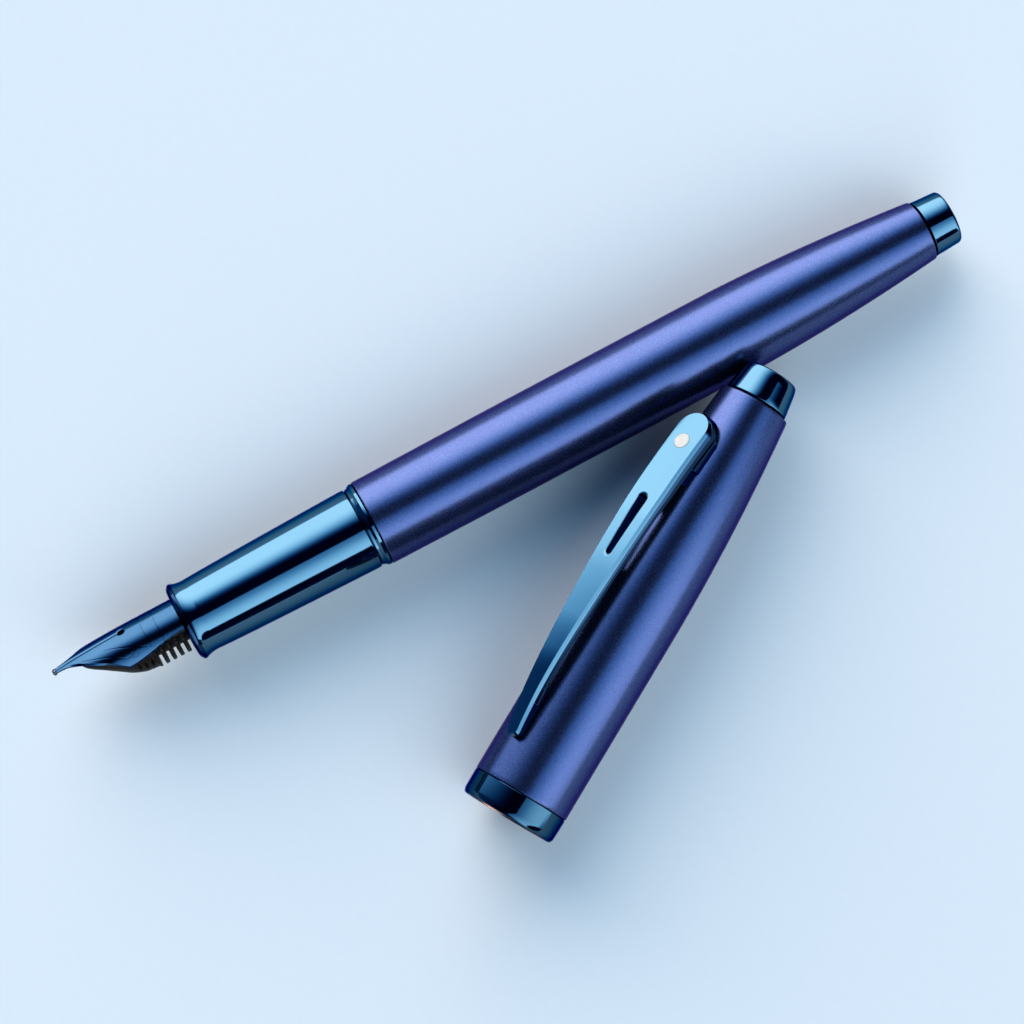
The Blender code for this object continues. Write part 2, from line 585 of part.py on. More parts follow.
def main():
    for item in list(bpy.data.objects):
        bpy.data.objects.remove(item, do_unlink=True)
    looks = {
        "satin": finish("satin_lacquer", (0.045, 0.055, 0.23), 0.85, 0.36),
        "polished": finish("polished_blue", (0.055, 0.21, 0.36), 1.0, 0.08),
        "nib": finish("blue_nib_steel", (0.06, 0.19, 0.42), 1.0, 0.18),
        "iridium": finish("tipping_alloy", (0.28, 0.3, 0.36), 1.0, 0.3),
        "feed": finish("ebonite_black", (0.018, 0.013, 0.012), 0.0, 0.45),
        "black": finish("black_plastic", (0.015, 0.015, 0.017), 0.0, 0.35),
        "brass": finish("brass", (0.55, 0.38, 0.14), 1.0, 0.3),
        "copper": finish("copper", (0.62, 0.3, 0.17), 1.0, 0.28),
        "steel": finish("steel", (0.55, 0.56, 0.58), 1.0, 0.25),
        "clear": finish("clear_plastic", (0.85, 0.9, 0.93), 0.0, 0.05, 0.35),
        "rubber": finish("black_rubber", (0.02, 0.02, 0.022), 0.0, 0.6),
        "ivory": finish("ivory_enamel", (0.86, 0.82, 0.7), 0.0, 0.3),
    }
    pen = frame("pen_frame", pen_matrix())
    unit = frame("writing_unit_slide", Matrix.Identity(4), pen)
    converter = frame("converter_slide", Matrix.Identity(4), unit)
    piston = frame("piston_slide", Matrix.Identity(4), converter)
    knob = frame("knob_axis", Matrix.Identity(4), converter)
    make_barrel(pen, looks)
    make_section(unit, looks)
    make_nib(unit, looks)
    make_converter(converter, piston, knob, looks)

    pivot, axis, _ = cap_swing()
    swing = frame("cap_swing_axis", Matrix.Translation(pivot))
    cap = frame("cap_frame", Matrix.Translation(-pivot) @ cap_matrix(), swing)
    clip_roll = Matrix.Rotation(math.radians(-CLIP_ROLL), 4, "X")
    seat_frame = frame("clip_seat_frame", clip_roll, cap)
    hinge_at = Vector((CLIP_HINGE_AT[0], 0, CLIP_HINGE_AT[1])) * MM
    clip_hinge = frame("clip_hinge_axis", Matrix.Translation(hinge_at), seat_frame)
    clip_frame = frame("clip_frame", Matrix.Translation(-hinge_at), clip_hinge)
    make_cap(cap, seat_frame, looks)
    make_clip(seat_frame, clip_frame, looks)
    settle([pen, swing])


main()
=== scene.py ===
"""The looks of a fountain pen lying uncapped beside its cap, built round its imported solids.

Lengths in the outlines are in millimetres. The pen frame has +X from the nib's tip to the tail, the
cap frame has +X from the mouth to the finial, and both have +Z up from the desk.
"""

import json
import math

import bmesh
import bpy
import numpy as np
from mathutils import Matrix, Vector


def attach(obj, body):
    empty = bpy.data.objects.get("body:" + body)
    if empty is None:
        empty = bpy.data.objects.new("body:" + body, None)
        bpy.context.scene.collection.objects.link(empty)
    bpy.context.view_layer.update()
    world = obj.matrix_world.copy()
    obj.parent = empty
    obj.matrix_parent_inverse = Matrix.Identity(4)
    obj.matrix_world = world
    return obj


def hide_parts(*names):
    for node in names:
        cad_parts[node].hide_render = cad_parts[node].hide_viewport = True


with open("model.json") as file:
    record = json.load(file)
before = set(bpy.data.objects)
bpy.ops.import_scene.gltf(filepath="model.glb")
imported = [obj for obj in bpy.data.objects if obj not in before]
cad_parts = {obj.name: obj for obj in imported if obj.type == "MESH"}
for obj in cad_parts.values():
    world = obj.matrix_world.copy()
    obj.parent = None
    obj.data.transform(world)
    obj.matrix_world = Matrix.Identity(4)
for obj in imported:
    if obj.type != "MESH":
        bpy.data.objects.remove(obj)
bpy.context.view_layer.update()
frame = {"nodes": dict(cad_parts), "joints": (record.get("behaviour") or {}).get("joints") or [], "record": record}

MM = 0.001
SIDES = 160  # round a large turned piece
FEW_SIDES = 96  # round a small one
SHARP = 38  # degrees between faces that meet in a crisp edge
FILLET_STEPS = 6
GRAIN_DEPTH = 0.00001  # metres, of the bump in every finish
PEN_LENGTH = 120.0
CAP_LENGTH = 60.9
NIB_ROLL = 42.0

mounts = {mount["name"]: mount for mount in frame["record"]["mounts"]}
joints = {joint["name"]: joint for joint in frame["joints"]}


def placed(end, along, length, left):
    """The frame of a turned group: its start from its end face, +X along it and +Y to the left."""
    along = Vector(along).normalized()
    up = along.cross(Vector(left)).normalized()
    matrix = Matrix((along, up.cross(along), up)).transposed().to_4x4()
    matrix.translation = Vector(end) - along * length * MM
    return matrix


def level_left(along):
    return Vector((0, 0, 1)).cross(Vector(along))


tail, finial = mounts["tail_end_face"], mounts["finial_end_face"]
PEN = placed(tail["pos_m"], tail["axis"], PEN_LENGTH, level_left(tail["axis"]))
NIB = PEN @ Matrix.Rotation(math.radians(-NIB_ROLL), 4, "X")
CAP = placed(finial["pos_m"], finial["axis"], CAP_LENGTH, level_left(finial["axis"]))
CLIP = placed(finial["pos_m"], finial["axis"], CAP_LENGTH, joints["clip_spring"]["axis"])
PEN_HEADING, CAP_HEADING = (math.atan2(group[1][0], group[0][0]) for group in (PEN, CAP))


# ---------------------------------------------------------------- materials

class Graph:
    """Adds shader nodes in one line each. An input that is a socket is linked, any other is set."""

    def __init__(self, tree):
        self.tree = tree

    def node(self, kind, inputs=(), **settings):
        made = self.tree.nodes.new("ShaderNode" + kind)
        for name, value in settings.items():
            setattr(made, name, value)
        for key, value in dict(inputs).items():
            if isinstance(value, bpy.types.NodeSocket):
                self.tree.links.new(value, made.inputs[key])
            else:
                made.inputs[key].default_value = value
        return made

    def math(self, operation, *values):
        return self.node("Math", enumerate(values), operation=operation).outputs[0]

    def spread(self, value, low, high, start, end):
        """The value's range from low to high, mapped to start to end."""
        inputs = {"Value": value, "From Min": low, "From Max": high, "To Min": start, "To Max": end}
        return self.node("MapRange", inputs).outputs["Result"]

    def blend(self, factor, one, other):
        """A colour between two, by the factor."""
        inputs = {0: factor, 6: (*one, 1.0), 7: (*other, 1.0)}
        return self.node("Mix", inputs, data_type="RGBA").outputs[2]

    def place(self, stretch=(1, 1, 1), heading=0.0):
        """The object's coordinates, in metres, turned to a heading and stretched along it."""
        where = self.node("TexCoord").outputs["Object"]
        inputs = {"Vector": where, "Rotation": (0, 0, heading), "Scale": [1 / part for part in stretch]}
        return self.node("Mapping", inputs, vector_type="TEXTURE").outputs["Vector"]

    def noise(self, scale, detail=2.0, stretch=(1, 1, 1), heading=0.0):
        inputs = {"Vector": self.place(stretch, heading), "Scale": scale, "Detail": detail}
        return self.node("TexNoise", inputs).outputs["Fac"]

    def bump(self, height, strength, distance):
        inputs = {"Height": height, "Strength": strength, "Distance": distance}
        return self.node("Bump", inputs).outputs["Normal"]


def look(name, metallic=0.0, **fixed):
    """A new Principled material: its graph, its shader and itself."""
    made = bpy.data.materials.new(name)
    made.use_nodes = True
    shader = made.node_tree.nodes["Principled BSDF"]
    shader.inputs["Metallic"].default_value = metallic
    for key, value in fixed.items():
        shader.inputs[key.replace("_", " ")].default_value = value
    return Graph(made.node_tree), shader, made


def wire(graph, shader, **sockets):
    for key, value in sockets.items():
        graph.tree.links.new(value, shader.inputs[key.replace("_", " ")])


def satin_lacquer():
    """Violet-blue metallic lacquer: fine aluminium grain under a satin finish."""
    graph, shader, made = look("satin_lacquer", 0.95, Specular_Tint=(0.38, 0.28, 0.55, 1.0))
    grain = graph.noise(7400, 2.0)
    cells = graph.node("TexVoronoi", {"Vector": graph.place(), "Scale": 9800})
    flake = graph.node("SeparateColor", {"Color": cells.outputs["Color"]}).outputs[0]
    bright = graph.spread(flake, 0.72, 1.0, 0.0, 1.0)
    mixed = graph.math("ADD", graph.spread(grain, 0.3, 0.7, 0.0, 0.62),
                       graph.math("MULTIPLY", bright, 0.38))
    colour = graph.blend(mixed, (0.036, 0.052, 0.135), (0.066, 0.096, 0.222))
    rough = graph.spread(grain, 0.3, 0.7, 0.22, 0.29)
    normal = graph.bump(graph.math("ADD", grain, bright), 0.16, GRAIN_DEPTH)
    wire(graph, shader, Base_Color=colour, Roughness=rough, Normal=normal)
    return made


def polished(name, dark, light, low, high, tint=(0.15, 0.25, 0.5, 1.0)):
    """Mirror plating, with the faint smears that handling leaves."""
    graph, shader, made = look(name, 1.0, Specular_Tint=tint)
    smear = graph.noise(260, 4.0, (0.35, 1, 1), PEN_HEADING)
    fine = graph.noise(3800, 2.0)
    wire(graph, shader, Base_Color=graph.blend(smear, dark, light),
         Roughness=graph.spread(graph.math("MULTIPLY", smear, fine), 0.1, 0.4, low, high))
    return made


def drawn_metal(name, dark, light, low, high, stretch, heading=0.0):
    """Machined or brushed metal, with its lines across the long way of the stretch."""
    graph, shader, made = look(name, 1.0)
    lines = graph.noise(1.0, 3.0, stretch, heading)
    wire(graph, shader, Base_Color=graph.blend(lines, dark, light),
         Roughness=graph.spread(lines, 0.3, 0.7, low, high), Normal=graph.bump(lines, 0.12, GRAIN_DEPTH))
    return made


def moulded(name, dark, light, low, high, scale, bump=0.1, **fixed):
    """Plastic, ebonite, rubber or enamel with a fine texture."""
    graph, shader, made = look(name, 0.0, **fixed)
    grain = graph.noise(scale, 3.0)
    wire(graph, shader, Base_Color=graph.blend(grain, dark, light),
         Roughness=graph.spread(grain, 0.3, 0.7, low, high), Normal=graph.bump(grain, bump, GRAIN_DEPTH))
    return made


TURNED = (9000, 60, 60)  # lines round a turned piece
LOOKS = {
    "satin_lacquer": satin_lacquer(),
    "polished_blue": polished("polished_blue", (0.048, 0.112, 0.168), (0.056, 0.126, 0.186), 0.03, 0.08),
    "blue_nib_steel": polished("blue_nib_steel", (0.019, 0.053, 0.104), (0.025, 0.065, 0.122), 0.12, 0.2),
    # deep_blue and dark_blue are darker copies of the blue plating. They are painted shade and painted dark
    # reflections on the cap band, the front ring, the clip's foot and walls, and the nib's engraved lines.
    "deep_blue": polished("deep_blue", (0.026, 0.068, 0.108), (0.032, 0.078, 0.122), 0.03, 0.08),
    "dark_blue": polished("dark_blue", (0.012, 0.030, 0.062), (0.016, 0.038, 0.076), 0.05, 0.1),
    "tipping_alloy": drawn_metal("tipping_alloy", (0.05, 0.06, 0.09), (0.10, 0.11, 0.15), 0.2, 0.35,
                                 (4000, 4000, 4000)),
    "ebonite_black": moulded("ebonite_black", (0.0045, 0.003, 0.0025), (0.012, 0.007, 0.005), 0.3,
                             0.45, 1400, Specular_IOR_Level=0.08),
    "black_plastic": moulded("black_plastic", (0.010, 0.010, 0.012), (0.018, 0.018, 0.021), 0.22, 0.36,
                             2400),
    "brass": drawn_metal("brass", (0.52, 0.34, 0.11), (0.66, 0.46, 0.18), 0.18, 0.34, TURNED, PEN_HEADING),
    "copper": drawn_metal("copper", (0.42, 0.17, 0.09), (0.56, 0.26, 0.15), 0.16, 0.3, TURNED, CAP_HEADING),
    "steel": drawn_metal("steel", (0.42, 0.43, 0.45), (0.58, 0.59, 0.61), 0.16, 0.32, TURNED, PEN_HEADING),
    "clear_plastic": moulded("clear_plastic", (0.86, 0.91, 0.94), (0.92, 0.96, 0.98), 0.02, 0.06, 500,
                             0.02, Transmission_Weight=1.0, IOR=1.49),
    "black_rubber": moulded("black_rubber", (0.014, 0.014, 0.015), (0.024, 0.024, 0.026), 0.5, 0.66, 3000),
    "ivory_enamel": moulded("ivory_enamel", (0.37, 0.35, 0.30), (0.43, 0.41, 0.36), 0.2, 0.3, 900, 0.03,
                            Coat_Weight=0.3, Coat_Roughness=0.08),
}


# ---------------------------------------------------------------- shapes

def finished(name, mesh, matrix, body, slot, sharp=SHARP, shade=None):
    """Makes the mesh a named piece in place of the CAD node of that name. A shade look, if given, replaces the
    slot's look with a darker copy that is painted shade.
    """
    mesh.transform(matrix)
    mesh.shade_smooth()
    mesh.set_sharp_from_angle(angle=math.radians(sharp))
    mesh.materials.append(LOOKS[shade or slot])
    item = bpy.data.objects.new(name + "_skin", mesh)
    bpy.context.scene.collection.objects.link(item)
    weigh = item.modifiers.new("weighted", "WEIGHTED_NORMAL")
    weigh.keep_sharp = True
    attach(item, body)
    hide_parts(name)
    return item


def mesh_of(name, points, faces):
    """A closed mesh from points in millimetres, facing out, without the points that no face uses."""
    mesh = bpy.data.meshes.new(name)
    mesh.from_pydata([tuple(point) for point in np.asarray(points) * MM], [], [tuple(f) for f in faces])
    bm = bmesh.new()
    bm.from_mesh(mesh)
    bmesh.ops.delete(bm, geom=[vert for vert in bm.verts if not vert.link_faces], context="VERTS")
    bmesh.ops.remove_doubles(bm, verts=bm.verts, dist=1e-8)
    bmesh.ops.recalc_face_normals(bm, faces=bm.faces)
    bm.to_mesh(mesh)
    bm.free()
    return mesh


def filleted(points):
    """An outline whose corners are rounded by the radius that a point names third."""
    made = []
    for i, (x, radius, *fillet) in enumerate(points):
        here = np.array((x, radius))
        if not fillet:
            made.append(here)
            continue
        before = np.array(points[i - 1][:2]) - here
        after = np.array(points[(i + 1) % len(points)][:2]) - here
        lengths = np.linalg.norm(before), np.linalg.norm(after)
        half = math.acos(np.clip(before @ after / (lengths[0] * lengths[1]), -1, 1)) / 2
        reach = min(fillet[0] / math.tan(half), 0.49 * lengths[0], 0.49 * lengths[1])
        start = here + before / lengths[0] * reach
        end = here + after / lengths[1] * reach
        for t in np.linspace(0, 1, FILLET_STEPS + 1):
            made.append(start * (1 - t) ** 2 + here * 2 * t * (1 - t) + end * t * t)
    return np.array(made)


def turned(name, outline, matrix, body, slot, sides=SIDES, shape=None, shade=None):
    """Turns an outline of (x, radius, corner radius) points about the X axis.

    An outline that starts on the axis also ends on it. Any other goes once round a tube's wall.
    shape moves the points: it takes x, radius and angle, and returns the radius.
    """
    solid = outline[0][1] == 0
    line = filleted(outline)
    count = len(line)
    angles = np.arange(sides) * 2 * math.pi / sides
    x = np.repeat(line[:, 0][:, None], sides, 1)
    radius = np.repeat(line[:, 1][:, None], sides, 1)
    angle = np.repeat(angles[None, :], count, 0)
    if shape:
        radius = shape(x, radius, angle)
    points = np.stack((x, radius * np.sin(angle), radius * np.cos(angle)), -1).reshape(-1, 3)
    rows = range(count - 1 if solid else count)
    faces = []
    for i in rows:
        j = (i + 1) % count
        for k in range(sides):
            m = (k + 1) % sides
            corners = [i * sides + k, i * sides + m, j * sides + m, j * sides + k]
            if line[i][1] == 0:
                corners = [i * sides, corners[2], corners[3]]
            elif line[j][1] == 0:
                corners = [corners[0], corners[1], j * sides]
            faces.append(corners)
    return finished(name, mesh_of(name, points, faces), matrix, body, slot, shade=shade)


def along(start, end, step, radius_at):
    """Outline points at small steps along a curved wall."""
    count = max(2, round(abs(end - start) / step) + 1)
    return [(x, radius_at(x)) for x in np.linspace(start, end, count)]


def eased(x, points):
    """A smooth curve through (x, value) points, with no overshoot."""
    xs, ys = (np.array(column, float) for column in zip(*points))
    rise = np.diff(ys) / np.diff(xs)
    slope = np.zeros(len(xs))
    same_way = rise[1:] * rise[:-1] > 0
    slope[1:-1][same_way] = (2 * rise[1:] * rise[:-1] / (rise[1:] + rise[:-1]))[same_way]
    slope[0], slope[-1] = rise[0], rise[-1]
    x = np.clip(x, xs[0], xs[-1])
    i = np.clip(np.searchsorted(xs, x, side="right") - 1, 0, len(xs) - 2)
    width = xs[i + 1] - xs[i]
    t = (x - xs[i]) / width
    return ((2 * t ** 3 - 3 * t ** 2 + 1) * ys[i] + (t ** 3 - 2 * t ** 2 + t) * width * slope[i]
            + (3 * t ** 2 - 2 * t ** 3) * ys[i + 1] + (t ** 3 - t ** 2) * width * slope[i + 1])


def grid_faces(rows, columns):
    """The quads of a grid of points, row by row."""
    i, j = np.meshgrid(np.arange(rows - 1), np.arange(columns - 1), indexing="ij")
    first = (i * columns + j).ravel()
    return np.stack((first, first + columns, first + columns + 1, first + 1), 1)


def open_hole(plan, faces, start, end, radius, end_radius=None):
    """Opens a round-ended hole in a grid: drops its faces and draws the rim's points onto its edge."""
    start, reach = np.array(start, float), np.array(end, float) - start
    grow = (end_radius or radius) - radius

    def away(points):
        share = np.clip((points - start) @ reach / max(reach @ reach, 1e-12), 0, 1)
        near = start + share[:, None] * reach
        return near, points - near, radius + grow * share

    _, offset, size = away(plan[faces].mean(1))
    inside = np.linalg.norm(offset, axis=1) < size
    rim = np.intersect1d(faces[inside], faces[~inside])
    near, offset, size = away(plan[rim])
    plan[rim] = near + offset / np.linalg.norm(offset, axis=1)[:, None] * size[:, None]
    return faces[~inside]


def plate(name, top, under, faces, matrix, body, slot, sharp):
    """A closed piece from two sheets of points with the same faces, walled at every open edge."""
    _, first, again = np.unique(np.round(top, 5), axis=0, return_index=True, return_inverse=True)
    top, under, faces = top[first], under[first], again.reshape(-1)[faces]
    count = len(top)
    ends = np.concatenate([faces[:, [k, (k + 1) % 4]] for k in range(4)])
    ends = ends[ends[:, 0] != ends[:, 1]]
    edges = ends[~np.isin(ends[:, 0] * count + ends[:, 1], ends[:, 1] * count + ends[:, 0])]
    walls = np.stack((edges[:, 1], edges[:, 0], edges[:, 0] + count, edges[:, 1] + count), 1)
    whole = np.vstack((faces, faces[:, ::-1] + count, walls)).tolist()
    faces = [face for face in (list(dict.fromkeys(face)) for face in whole) if len(face) > 2]
    mesh = mesh_of(name, np.vstack((top, under)), faces)
    return finished(name, mesh, matrix, body, slot, sharp)


def lofted(name, sections, matrix, body, slot, sharp=SHARP, shade=None):
    """Skins sections of equally many points and closes both ends."""
    sections = np.array(sections, float)
    rows, sides = sections.shape[:2]
    faces = []
    for i in range(rows - 1):
        for k in range(sides):
            m = (k + 1) % sides
            faces.append([i * sides + k, i * sides + m, (i + 1) * sides + m, (i + 1) * sides + k])
    faces += [list(range(sides)), list(range((rows - 1) * sides, rows * sides))]
    return finished(name, mesh_of(name, sections.reshape(-1, 3), faces), matrix, body, slot, sharp, shade)


def paint_shade(item, chosen):
    """Gives the darker look, a painted shade, to the faces that are chosen."""
    item.data.materials.append(LOOKS["dark_blue"])
    item.data.polygons.foreach_set("material_index", np.where(chosen, 1, 0))


def gaps(points, cuts):
    """The distance from each point to the nearest of the cut points."""
    nearest = np.full(len(points), 9.0)
    for part in np.array_split(cuts, 15):
        nearest = np.minimum(nearest, np.linalg.norm(points[:, None] - part[None], axis=2).min(1))
    return nearest


# ---------------------------------------------------------------- barrel and section

BARREL_FRONT, BARREL_BACK, TAPER_START = 41.3, 116.2, 88.0


def barrel_radius(x):
    """Almost straight, then a bullet taper to the tail."""
    swell = 5.4 + 0.1 * min(1.0, (x - BARREL_FRONT) / 18.0)
    share = max(0.0, (x - TAPER_START) / (BARREL_BACK - TAPER_START))
    return swell - 1.7 * share ** 1.8


def make_barrel():
    wall = [(BARREL_FRONT, 4.75, 0.1), (BARREL_FRONT, 5.4, 0.12)]
    wall += along(BARREL_FRONT + 0.5, BARREL_BACK - 0.5, 1.2, barrel_radius)
    wall += [(BARREL_BACK, 3.8, 0.12), (BARREL_BACK, 1.1), (108.6, 1.1), (108.6, 2.6), (106.4, 3.5)]
    wall += [(94.0, 4.25), (90.0, 4.75)]
    turned("barrel_shell", wall, PEN, "barrel", "satin_lacquer")

    tail_piece = [(119.1, 0.0), (119.1, 1.15), (116.5, 1.15), (116.5, 3.6, 0.1)]
    tail_piece += along(116.9, 119.0, 0.3, lambda x: 3.56 - 0.055 * (x - 116.9))
    tail_piece += [(PEN_LENGTH, 3.38, 0.5), (PEN_LENGTH, 0.0)]
    turned("tail_end_cap", tail_piece, PEN, "barrel", "polished_blue")


def section_radius(x):
    """The grip's waist widens towards the barrel, and flares a little behind the front bead."""
    share = max(0.0, (x - 18.4) / 20.8)
    return 4.56 + 0.54 * share ** 0.75 + 0.1 * max(0.0, (18.6 - x) / 1.2) ** 3


THREAD_PITCH = 1.25


def threaded(start, end, depth, pitch, inward=False):
    """A shape for turned: a real helical thread between two ends, fading out at both."""
    def shape(x, radius, angle):
        phase = (x / pitch - angle / (2 * math.pi)) % 1.0
        ridge = 1 - np.abs(2 * phase - 1) * 1.15
        fade = np.clip(np.minimum(x - start, end - x) / (pitch * 0.8), 0, 1)
        lift = depth * np.clip(ridge, 0, 0.8) / 0.8 * fade
        return radius - lift if inward else radius + lift
    return shape


def make_section():
    grip = [(16.87, 3.9), (16.87, 4.8)] + along(16.87, 19.0, 0.1, section_radius)
    grip += along(19.4, 39.4, 0.5, section_radius)
    grip += [(39.95, 5.09, 0.12), (40.06, 4.86, 0.02), (40.06, 3.9)]
    turned("section_grip", grip, PEN, "writing_unit", "polished_blue")

    bead = [(16.86, 3.72), (16.15, 3.72), (16.02, 4.15, 0.05), (16.08, 4.4, 0.08), (16.4, 4.86, 0.06)]
    bead += [(16.7, 4.94, 0.08), (16.86, 4.84, 0.03)]
    # The front ring wears the darker copy of the plating: a painted dark reflection.
    turned("section_front_ring", bead, PEN, "writing_unit", "polished_blue", shade="dark_blue")

    rear = [(41.27, 4.15), (40.07, 4.15), (40.07, 4.86, 0.02), (40.2, 4.98, 0.1), (40.5, 5.08, 0.2)]
    rear += [(40.8, 5.33, 0.05), (41.12, 5.36, 0.06), (41.27, 5.2, 0.02)]
    turned("section_rear_ring", rear, PEN, "writing_unit", "polished_blue")

    crest = [(x, 3.72) for x in np.arange(43.0, 50.0, 0.09)]
    connector = [(35.2, 3.4), (35.2, 3.72), (40.3, 3.72), (40.35, 3.98), (42.7, 3.98, 0.05)]
    connector += [(42.9, 3.72, 0.05)] + crest + [(50.2, 3.72, 0.15), (50.2, 3.4)]
    turned("section_connector", connector, PEN, "writing_unit", "brass", FEW_SIDES,
           threaded(43.0, 50.0, 0.27, THREAD_PITCH))


# ---------------------------------------------------------------- nib and feed

NIB_RADIUS, NIB_THICKNESS, NIB_BACK = 3.3, 0.28, 30.0
NIB_START, SHOULDER = 0.42, 8.5
BREATHER_AT, BREATHER_RADIUS, SLIT_HALF = 9.2, 0.42, 0.05
NIB_COLUMNS = 78  # across each tine, between the rows that follow its edges
SLIT_ROWS = np.array((0.0, 0.05, 0.10, 0.19, 0.28))
EDGE_ROWS = np.array((0.36, 0.27, 0.18, 0.09, 0.0))
NIB_BEVEL, LIT_BEVEL, DARK_BEVEL = 0.27, 0.28, 0.10
GROOVE_DEPTH, GROOVE_HALF, CUT_HALF = 0.010, 0.085, 0.048  # the engraved lines, and the painted shade in their middle
NIB_RISE = [(0.0, 2.68), (3.0, 3.0), (5.0, 3.13), (7.5, 3.25), (9.5, 3.3), (40.0, 3.3)]
TINE = [(0.42, 7.0), (1.6, 9.5), (3.0, 21.0), (4.7, 39.5), (6.45, 57.0), (7.7, 74.0), (SHOULDER, 86.0)]
SHANK = [(SHOULDER, 86.0), (10.5, 80.0), (16.0, 64.0), (NIB_BACK, 62.0)]


def half_angle(x):
    """How far round the nib wraps from its slit, on each side."""
    return np.where(x < SHOULDER, eased(x, TINE), eased(x, SHANK))


def engraving():
    """Plain lines cut in each tine, as (x, degrees from the slit) points: two bands and three curves."""
    step = np.linspace(0, 1, 90)
    lines = [np.stack((np.full(90, x), 4 + 58 * step), 1) for x in (11.6, 13.3)]
    x = 3.6 + 5.4 * step
    lines.append(np.stack((x, half_angle(x) * (0.66 + 0.06 * step)), 1))
    x = 6.6 + 4.6 * step
    lines.append(np.stack((x, 24 + 34 * step ** 1.7 + 5 * np.sin(math.pi * step)), 1))
    turn = 4.2 * step
    lines.append(np.stack((9.5 + 0.45 * (1 - 0.5 * step) * np.cos(turn),
                           60 + 8.0 * (1 - 0.5 * step) * np.sin(turn)), 1))
    return np.concatenate(lines)


def make_nib():
    x = np.concatenate((np.linspace(NIB_START, 1.6, 20), np.arange(1.65, 14.0, 0.055),
                        np.linspace(14.1, 17.0, 16), np.linspace(17.4, NIB_BACK, 10)))
    outer = (NIB_RADIUS * np.radians(half_angle(x)))[:, None]
    narrow = np.minimum(1.0, outer - SLIT_HALF)
    first = SLIT_HALF + SLIT_ROWS * narrow
    last = outer - EDGE_ROWS * narrow
    between = np.linspace(0, 1, NIB_COLUMNS + 2)[1:-1]
    tine = np.concatenate((first, first[:, -1:] + (last[:, :1] - first[:, -1:]) * between, last), 1)
    arc = np.concatenate((-tine[:, ::-1], tine), 1)
    columns = arc.shape[1]
    plan = np.stack((np.repeat(x[:, None], columns, 1), arc), -1).reshape(-1, 2)
    faces = grid_faces(len(x), columns)
    middle = (faces[:, 0] % columns == columns // 2 - 1) & (plan[faces[:, 0], 0] < BREATHER_AT)
    faces = faces[~middle]
    faces = open_hole(plan, faces, (BREATHER_AT, 0), (BREATHER_AT, 0), BREATHER_RADIUS)

    along_x, angle = plan[:, 0], plan[:, 1] / NIB_RADIUS
    cuts = engraving()
    cuts = np.stack((cuts[:, 0], np.radians(cuts[:, 1]) * NIB_RADIUS), 1)
    here = np.stack((along_x, np.abs(plan[:, 1])), 1)
    groove = GROOVE_DEPTH * np.clip(1 - (gaps(here, cuts) / GROOVE_HALF) ** 2, 0, 1)
    edge = NIB_RADIUS * np.radians(half_angle(along_x)) - np.abs(plan[:, 1])
    bevel = 0.75 * np.clip(NIB_BEVEL - edge, 0, NIB_BEVEL) * np.clip((along_x - 1.5) / 3, 0, 1)
    slit = np.abs(plan[:, 1]) - SLIT_HALF
    lit, dark = 0.26 * np.clip(LIT_BEVEL - slit, 0, 1), 0.5 * np.clip(DARK_BEVEL - slit, 0, 1)
    slit_bevel = np.where(plan[:, 1] > 0, lit, dark) * np.clip((BREATHER_AT - along_x) / 0.3, 0, 1)
    hole = np.hypot(along_x - BREATHER_AT, plan[:, 1]) - BREATHER_RADIUS
    countersink = 0.7 * np.clip(0.12 - hole, 0, 0.12)

    def sheet(depth):
        centre = eased(along_x, NIB_RISE) - NIB_RADIUS
        radius = NIB_RADIUS - depth
        return np.stack((along_x, radius * np.sin(angle), centre + radius * np.cos(angle)), 1)

    thin = NIB_THICKNESS * (1 - 0.35 * np.clip((3.0 - along_x) / 3.0, 0, 1))
    top = sheet(groove + np.maximum(bevel, np.maximum(slit_bevel, countersink)))
    nib = plate("nib", top, sheet(thin), faces, NIB, "writing_unit", "blue_nib_steel", 30)

    centres = np.array([face.center for face in nib.data.polygons])
    back = NIB.inverted()
    local = centres @ np.array(back.to_3x3()).T / MM + np.array(back.translation) / MM
    height = local[:, 2] - eased(local[:, 0], NIB_RISE) + NIB_RADIUS
    unrolled = np.stack((local[:, 0], np.abs(np.arctan2(local[:, 1], height)) * NIB_RADIUS), 1)
    outside = np.hypot(local[:, 1], height) > NIB_RADIUS - 0.08
    # Painted shade: the middle of each engraved line on the outer face gets the darker plating.
    paint_shade(nib, outside & (gaps(unrolled, cuts) < CUT_HALF))

    point_height = float(eased(0.4, NIB_RISE)) - 0.16
    rows = []
    for a in np.linspace(-math.pi / 2, math.pi / 2, 29)[1:-1]:
        ring = []
        for b in np.linspace(0, 2 * math.pi, 48, endpoint=False):
            squared = [math.copysign(abs(c) ** 0.72, c) for c in (math.cos(b), math.sin(b))]
            wide = math.cos(a) ** 0.6
            y = 0.42 * wide * squared[0]
            notch = 0.07 * max(0.0, 1 - abs(y) / 0.05) if a < 0 else 0
            ring.append((0.27 + 0.27 * math.sin(a) + notch, y, point_height + 0.34 * wide * squared[1]))
        rows.append(ring)
    lofted("nib_tipping", rows, NIB, "writing_unit", "tipping_alloy")


FEED_SIDES = 72
FIN_PITCH, FIN_GAP, FIRST_GAP, FIN_GAPS = 0.95, 0.45, 11.75, 8
FEED_NOTCHES = (9.3, 10.1, 10.9)


